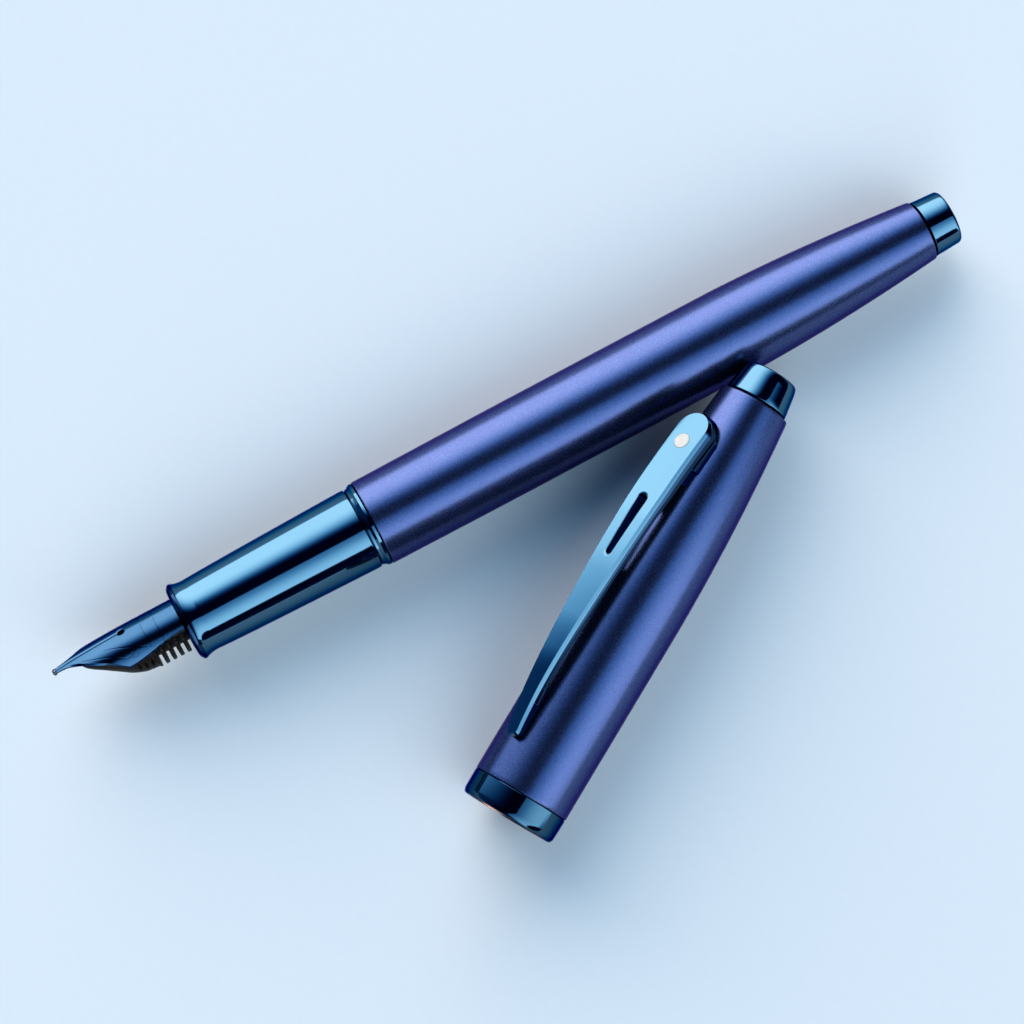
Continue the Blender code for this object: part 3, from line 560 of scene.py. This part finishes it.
def make_feed():
    """A nose that rises to the nib, three small notches by its edge, then combs of fins below."""
    angles = np.linspace(0, 2 * math.pi, FEED_SIDES, endpoint=False)
    under = [(3.2, 1.9), (3.7, 1.1), (5.5, -0.15), (7.0, -1.3), (8.45, -2.4), (10.0, -3.1), (11.4, -3.3)]
    width = [(3.2, 0.35), (3.9, 0.9), (5.5, 1.75), (7.0, 2.3), (8.45, 2.7), (10.0, 2.85), (11.4, 2.85)]
    sections = []
    for x in np.arange(3.2, 11.45, 0.1):
        top = float(eased(x, NIB_RISE)) - NIB_THICKNESS - 0.17
        low = float(eased(x, under))
        wide = float(eased(x, width))
        middle = (top + low) / 2
        notch = sum(max(0.0, 1 - abs(x - at) / 0.16) for at in FEED_NOTCHES)
        side = np.clip(1 - np.abs(np.abs(np.sin(angles)) - 0.97) / 0.12, 0, 1)
        side = side * np.clip(-np.cos(angles) * 9, 0, 1)
        reach = 1 - 0.16 * min(1.0, notch) * side
        sections.append(np.stack((np.full(FEED_SIDES, x), wide * np.sin(angles) * reach,
                                  middle + (top - middle) * np.cos(angles) * reach), 1))

    def slice_at(x, radius):
        below = np.clip((0.33 - np.cos(angles)) * 10, 0, 1)
        reach = 2.85 + (radius - 2.85) * below
        across, high = reach * np.sin(angles), reach * np.cos(angles)
        sections.append(np.stack((np.full(FEED_SIDES, x), across, high), 1))

    slice_at(11.5, 3.3)
    for step in range(FIN_GAPS):
        gap = FIRST_GAP + step * FIN_PITCH
        for shift, radius in ((-0.06, 3.3), (0.0, 3.24), (0.02, 2.0), (FIN_GAP, 2.0),
                              (FIN_GAP + 0.02, 3.24), (FIN_GAP + 0.08, 3.3)):
            slice_at(gap + shift, radius)
    slice_at(20.0, 3.2)
    slice_at(31.1, 3.2)
    lofted("feed", sections, NIB, "writing_unit", "ebonite_black", 34)


# ---------------------------------------------------------------- converter

def make_converter():
    mouth = [(36.6, 1.45), (36.6, 3.2, 0.25), (42.4, 3.2, 0.1), (42.4, 2.4), (44.6, 2.4, 0.1), (44.6, 1.0)]
    mouth += [(41.0, 1.0), (41.0, 1.45)]
    turned("converter_mouth", mouth, PEN, "converter", "black_plastic", FEW_SIDES)
    tube = [(42.55, 2.55), (42.55, 3.2, 0.08), (75.0, 3.2, 0.08), (75.0, 2.55)]
    turned("converter_tube", tube, PEN, "converter", "clear_plastic", FEW_SIDES)
    sleeve = [(72.0, 3.33), (72.0, 3.6, 0.08), (73.2, 3.6, 0.05), (73.35, 3.5, 0.05), (73.65, 3.5, 0.05)]
    sleeve += [(73.8, 3.6, 0.05), (87.0, 3.6, 0.2), (87.0, 2.5, 0.05), (86.3, 2.5), (86.3, 3.33)]
    turned("converter_sleeve", sleeve, PEN, "converter", "steel", FEW_SIDES)

    seal = [(70.0, 0.0), (70.0, 2.1, 0.1), (70.3, 2.45, 0.1), (71.0, 2.45, 0.1), (71.4, 2.1, 0.1)]
    seal += [(73.2, 2.1, 0.1), (73.6, 2.45, 0.1), (74.3, 2.45, 0.1), (74.5, 2.1, 0.05), (74.5, 1.1)]
    seal += [(72.0, 1.1), (72.0, 0.0)]
    turned("piston_seal", seal, PEN, "piston", "black_rubber", FEW_SIDES)
    rod = [(72.2, 0.0), (72.2, 0.95), (74.7, 0.95), (74.8, 1.02)]
    rod += [(x, 1.02) for x in np.arange(75.0, 100.4, 0.16)] + [(100.8, 1.0, 0.1), (100.8, 0.0)]
    turned("piston_rod", rod, PEN, "piston", "steel", 48, threaded(75.0, 100.4, 0.27, 1.6))

    def fluted(x, radius, angle):
        inside = (x > 89.2) & (x < 99.2) & (radius > 2.6)
        ends = np.clip(np.minimum(x - 89.2, 99.2 - x) / 0.4, 0, 1)
        return radius - 0.16 * inside * ends * np.clip(np.cos(angle * 20) + 0.35, 0, 1)

    grip = [(x, 2.9) for x in np.linspace(89.0, 99.4, 40)]
    knob = [(101.0, 0.0), (101.0, 1.5), (80.3, 1.5), (80.3, 2.12), (77.4, 2.12), (77.4, 2.3), (87.2, 2.3)]
    knob += [(87.2, 2.9, 0.15)] + grip + [(101.6, 2.9, 0.4), (101.6, 0.0)]
    turned("converter_knob", knob, PEN, "knob", "black_plastic", 240, fluted)


# ---------------------------------------------------------------- cap

CAP_RADIUS, SHELL_BACK, CAP_TAPER_START, BAND_HEIGHT = 6.06, 56.7, 28.0, 3.2


def cap_radius(x):
    """Straight over the section, then tapering to the finial."""
    share = np.clip((x - CAP_TAPER_START) / (SHELL_BACK - CAP_TAPER_START), 0, 1)
    return CAP_RADIUS - 1.66 * share ** 1.9


def make_cap():
    front = BAND_HEIGHT + 0.02
    wall = [(front, 5.5), (front, CAP_RADIUS, 0.1)]
    wall += along(front + 0.6, SHELL_BACK - 0.4, 1.0, cap_radius)
    wall += [(SHELL_BACK, 4.4, 0.14), (SHELL_BACK, 1.3), (54.6, 1.3), (54.6, 3.2)]
    wall += [(x, cap_radius(x) - 0.75) for x in (53.0, 49.0, 45.0, 41.0)]
    wall += [(34.0, 5.2), (33.0, 5.5)]
    turned("cap_shell", wall, CAP, "cap", "satin_lacquer")

    band = [(BAND_HEIGHT, 5.55), (0.3, 5.55, 0.05)]
    for t in np.linspace(0, math.pi / 2, 14):
        band.append((0.02 + 0.85 * (1 - math.cos(t)), 5.62 + 0.39 * math.sin(t)))
    band += [(2.0, 6.03), (BAND_HEIGHT - 0.14, 6.04), (BAND_HEIGHT, 5.93)]
    # The band wears a darker copy of the plating: painted darker reflections.
    turned("cap_band", band, CAP, "cap", "polished_blue", shade="deep_blue")

    # The mouth is opened out so that the section's rear ring has room when the cap is on the pen.
    ring = [(0.06, 5.42, 0.03), (0.06, 5.5, 0.03), (6.6, 5.45), (6.6, 5.2), (1.4, 5.18, 0.1)]
    ring += [(0.8, 5.42, 0.1)]
    turned("clutch_ring", ring, CAP, "cap", "copper", FEW_SIDES)

    liner = [(43.8, 0.0), (43.8, 3.6), (43.2, 4.4), (40.0, 4.95), (33.0, 5.1), (32.5, 5.32)]
    liner += [(20.0, 5.32, 0.08), (20.0, 5.08, 0.08), (26.5, 5.05), (27.5, 4.45, 0.2), (38.0, 4.3)]
    liner += [(42.3, 3.4, 0.4), (42.9, 2.4), (42.9, 0.0)]
    turned("inner_cap", liner, CAP, "cap", "black_plastic", FEW_SIDES)

    top = [(59.4, 0.0), (59.4, 1.15), (57.0, 1.15), (57.0, 3.95, 0.12)]
    top += along(57.5, 60.1, 0.3, lambda x: 3.9 - 0.16 * (x - 57.5))
    top += [(CAP_LENGTH, 3.26, 0.66), (CAP_LENGTH, 0.0)]
    turned("cap_finial", top, CAP, "cap", "polished_blue")


# ---------------------------------------------------------------- clip

CLIP_TIP, CLIP_TOP, HEAD_ROUND, TIP_ROUND = 8.2, 51.9, 2.3, 0.98
DOT_AT, DOT_RADIUS = 47.7, 0.98
SLOT_LOW, SLOT_HIGH, SLOT_LOW_HALF, SLOT_HIGH_HALF = 32.2, 39.4, 0.38, 0.66
CROWN = [(CLIP_TIP, 7.3), (10.5, 7.85), (15.0, 8.65), (19.5, 9.05), (24.0, 9.22), (30.0, 9.27),
         (37.0, 9.1), (42.0, 8.75), (48.4, 8.0), (CLIP_TOP, 7.4)]
DEPTH = [(CLIP_TIP, 0.55), (14.0, 0.75), (34.0, 0.9), (42.0, 1.25), (CLIP_TOP, 1.45)]
TAPER = [(CLIP_TIP + TIP_ROUND, TIP_ROUND), (15.0, 1.22), (24.0, 1.65), (34.0, 2.1), (42.0, HEAD_ROUND),
         (CLIP_TOP, HEAD_ROUND)]
CLIP_INSETS = np.array((0.0, 0.08, 0.16, 0.24, 0.33, 0.42))
CLIP_COLUMNS = 37  # between the rows that follow its edges
CLIP_BEVEL = 0.24
CLIP_STEP = 0.16  # between rows along it


def clip_row(middle, way, half, turn):
    """One row of (x, y, distance in from the edge) across the clip, bent round towards an end."""
    near = half - CLIP_INSETS
    share = np.linspace(-1, 1, CLIP_COLUMNS + 2)[1:-1]
    reach = np.concatenate((near, np.full(CLIP_COLUMNS, near[-1]), near[::-1]))
    side = np.concatenate((-np.ones(len(near)), share, np.ones(len(near))))
    inset = np.concatenate((CLIP_INSETS, np.full(CLIP_COLUMNS, 0.5), CLIP_INSETS[::-1]))
    y = reach * side * (math.cos(turn) if turn < 1.57 else 0)
    return np.stack((middle + way * reach * math.sin(turn), y, inset), 1)


def make_clip():
    turns = np.linspace(0, math.pi / 2, 17)
    tip_middle, head_middle = CLIP_TIP + TIP_ROUND, CLIP_TOP - HEAD_ROUND
    rows = [clip_row(tip_middle, -1, TIP_ROUND, turn) for turn in turns[:0:-1]]
    for x in np.arange(tip_middle, head_middle - 0.05, CLIP_STEP):
        rows.append(clip_row(x, 0, float(eased(x, TAPER)), 0.0))
    rows += [clip_row(head_middle, 1, HEAD_ROUND, turn) for turn in turns]
    grid = np.array(rows)
    faces = grid_faces(len(grid), grid.shape[1])
    inset = grid[:, :, 2].ravel()
    plan = grid[:, :, :2].reshape(-1, 2).copy()
    faces = open_hole(plan, faces, (SLOT_LOW, 0), (SLOT_HIGH, 0), SLOT_LOW_HALF, SLOT_HIGH_HALF)

    along_x, y = plan[:, 0], plan[:, 1]
    height = eased(along_x, CROWN)
    bevel = 1.9 * np.clip(CLIP_BEVEL - inset, 0, CLIP_BEVEL)
    bevel = bevel * (1 - 0.3 * np.clip((15 - along_x) / 6, 0, 1))
    crown = 0.12 * (y / HEAD_ROUND) ** 2
    share = np.clip((along_x - SLOT_LOW) / (SLOT_HIGH - SLOT_LOW), 0, 1)
    beyond = along_x - SLOT_LOW - share * (SLOT_HIGH - SLOT_LOW)
    slot_gap = np.hypot(beyond, y) - (SLOT_LOW_HALF + (SLOT_HIGH_HALF - SLOT_LOW_HALF) * share)
    lip = 0.5 * np.clip(0.14 - slot_gap, 0, 0.14)
    top = np.stack((along_x, y, height - crown - bevel - lip), 1)
    low = height - 0.5 - eased(along_x, DEPTH)
    width = np.maximum(np.interp(along_x, *zip(*TAPER)), 0.5)
    bump = np.clip(1 - ((along_x - 12.2) / 3.2) ** 2, 0, 1) ** 0.7
    bump = bump * np.clip(1 - 0.5 * (y / width) ** 6, 0, 1)
    low = low - (low - CAP_RADIUS - 0.3) * bump
    clip = plate("clip", top, np.stack((along_x, y, low), 1), faces, CLIP, "clip", "polished_blue", 30)
    up = np.array([face.normal for face in clip.data.polygons]) @ np.array(CLIP.col[2])[:3]
    paint_shade(clip, up < 0.2)  # painted shade on the walls and the underside

    rim = float(eased(DOT_AT, CROWN))
    profile = filleted([(rim - 0.34, 0.0), (rim - 0.34, DOT_RADIUS), (rim, DOT_RADIUS),
                        (rim + 0.07, DOT_RADIUS - 0.05, 0.06), (rim + 0.09, 0.0)])
    rings = []
    for z, radius in profile[1:-1]:
        ring = np.linspace(0, 2 * math.pi, 64, endpoint=False)
        tilt = -0.115 * radius * np.cos(ring) if z > rim - 0.3 else 0 * ring
        rings.append(np.stack((DOT_AT + radius * np.cos(ring), radius * np.sin(ring), z + tilt), 1))
    lofted("clip_dot", rings, CLIP, "clip", "ivory_enamel")

    sections = []
    for x, half in ((43.4, 1.7), (43.5, 1.8), (45.2, 1.85), (45.3, 2.15), (45.5, 2.25), (49.3, 2.25),
                    (50.0, 2.0), (50.2, 1.8)):
        ceiling = float(eased(x, CROWN)) - 0.5 - float(eased(x, DEPTH)) - 0.25
        reach = float(cap_radius(x)) + 0.12
        angle = np.arcsin(half / reach)
        arc = np.linspace(angle, -angle, 25)
        section = [(x, -half + 0.12, ceiling), (x, half - 0.12, ceiling), (x, half, ceiling - 0.12)]
        section += [(x, reach * math.sin(a), reach * math.cos(a)) for a in arc]
        section.append((x, -half, ceiling - 0.12))
        sections.append(section)
    # The foot wears the darker copy of the plating: painted shade under the clip.
    lofted("clip_foot", sections, CLIP, "cap", "polished_blue", shade="dark_blue")


# ---------------------------------------------------------------- stage, light and camera

VIEW_TURN = 28.47  # the pen's heading in the picture, from its lower edge
VIEW_TARGET = (52.9, 21.1, 5.0)
VIEW_DISTANCE, VIEW_ELEVATION, VIEW_ANGLE = 383.9, 80.0, 18.0
SENSOR = 36.0
FLOOR_HALF = 3.0  # metres
# Azimuths in the picture, in degrees: the window, its bright end, the panel, and along the panel.
WINDOW_WAY, WINDOW_END, PANEL_WAY, PANEL_LENGTHWAYS = 130, 62, -58, 32
CHANNELS = ((2.1, 6.1), (1.4, 5.7), (1.0, 5.5))  # (contrast, peak) of the light's red, green and blue


def picture_frame():
    """The desk as the camera sees it: +X to the right and +Y up the picture, under the nib's tip."""
    heading = math.atan2(PEN[1][0], PEN[0][0]) - math.radians(VIEW_TURN)
    matrix = Matrix.Rotation(heading, 4, "Z")
    matrix.translation = (PEN.translation.x, PEN.translation.y, 0)
    return matrix


def make_camera(picture):
    data = bpy.data.cameras.new("camera")
    data.sensor_width = SENSOR
    data.lens = SENSOR / 2 / math.tan(math.radians(VIEW_ANGLE / 2))
    data.clip_start, data.clip_end = 0.01, 20.0
    camera = bpy.data.objects.new("camera", data)
    bpy.context.scene.collection.objects.link(camera)
    rise = math.radians(VIEW_ELEVATION)
    back = Vector((0, -math.cos(rise), math.sin(rise)))
    back = picture.to_3x3() @ back
    camera.location = picture @ (Vector(VIEW_TARGET) * MM) + back * VIEW_DISTANCE * MM
    camera.rotation_mode = "QUATERNION"
    camera.rotation_quaternion = (-back).to_track_quat("-Z", "Y")
    bpy.context.scene.camera = camera


def make_floor():
    bm = bmesh.new()
    bmesh.ops.create_grid(bm, x_segments=2, y_segments=2, size=FLOOR_HALF)
    mesh = bpy.data.meshes.new("floor")
    bm.to_mesh(mesh)
    bm.free()
    graph, shader, made = look("floor_paper", 0.0, Specular_IOR_Level=0.2)
    grain = graph.noise(900, 3.0)
    wire(graph, shader, Base_Color=graph.blend(grain, (0.64, 0.63, 0.63), (0.66, 0.65, 0.65)))
    shader.inputs["Roughness"].default_value = 0.7
    mesh.materials.append(made)
    floor = bpy.data.objects.new("floor", mesh)
    bpy.context.scene.collection.objects.link(floor)


def make_light(picture):
    """A dark studio ceiling with a tall soft window on the left and one panel on the right."""
    world = bpy.data.worlds.new("studio")
    world.use_nodes = True
    bpy.context.scene.world = world
    graph = Graph(world.node_tree)
    where = graph.node("TexCoord").outputs["Generated"]

    def lean(azimuth):
        """How far a direction leans towards an azimuth in the picture, from -1 to 1."""
        turn = math.radians(azimuth)
        way = picture.to_3x3() @ Vector((math.cos(turn), math.sin(turn), 0))
        return graph.node("VectorMath", {0: where, 1: way}, operation="DOT_PRODUCT").outputs["Value"]

    def smooth(value, low, high, start=0.0, end=1.0):
        inputs = {"Value": value, "From Min": low, "From Max": high, "To Min": start, "To Max": end}
        return graph.node("MapRange", inputs, interpolation_type="SMOOTHSTEP").outputs["Result"]

    height = graph.node("SeparateXYZ", {0: where}).outputs["Z"]
    window = graph.math("MULTIPLY", smooth(lean(WINDOW_WAY), 0.07, 0.84), smooth(height, -0.05, 0.05))
    window = graph.math("MULTIPLY", window, smooth(lean(WINDOW_END), -0.06, 0.27, 0.07, 1.0))
    across = lean(PANEL_WAY)
    panel = graph.math("MULTIPLY", smooth(across, 0.27, 0.31), smooth(across, 0.88, 0.91, 1.0, 0.0))
    panel = graph.math("MULTIPLY", panel, smooth(across, 0.27, 0.90, 0.28, 0.78))
    sideways = graph.math("ABSOLUTE", lean(PANEL_LENGTHWAYS))
    panel = graph.math("MULTIPLY", panel, smooth(sideways, 0.55, 0.75, 1.0, 0.0))
    level = graph.math("ADD", graph.math("ADD", window, panel), smooth(height, 0.0, 0.35, 0.016, 0.006))
    light = [graph.math("MULTIPLY", graph.math("POWER", level, power), peak)
             for power, peak in CHANNELS]
    colour = graph.node("CombineColor", enumerate(light)).outputs[0]
    world.node_tree.links.new(colour, world.node_tree.nodes["Background"].inputs["Color"])


# ---------------------------------------------------------------- the whole

def carry_over():
    """Gives the CAD nodes a worked finish, for those inside the pen that no piece replaces."""
    slots = {row["node"]: row["material_slot"] for row in frame["record"]["subparts"]}
    for name, item in frame["nodes"].items():
        worn = item.material_slots[0]
        worn.link = "OBJECT"
        worn.material = LOOKS[slots[name]]


carry_over()
make_barrel()
make_section()
make_nib()
make_feed()
make_converter()
make_cap()
make_clip()
picture = picture_frame()
make_camera(picture)
make_floor()
make_light(picture)
bpy.context.scene.view_settings.view_transform = "Standard"
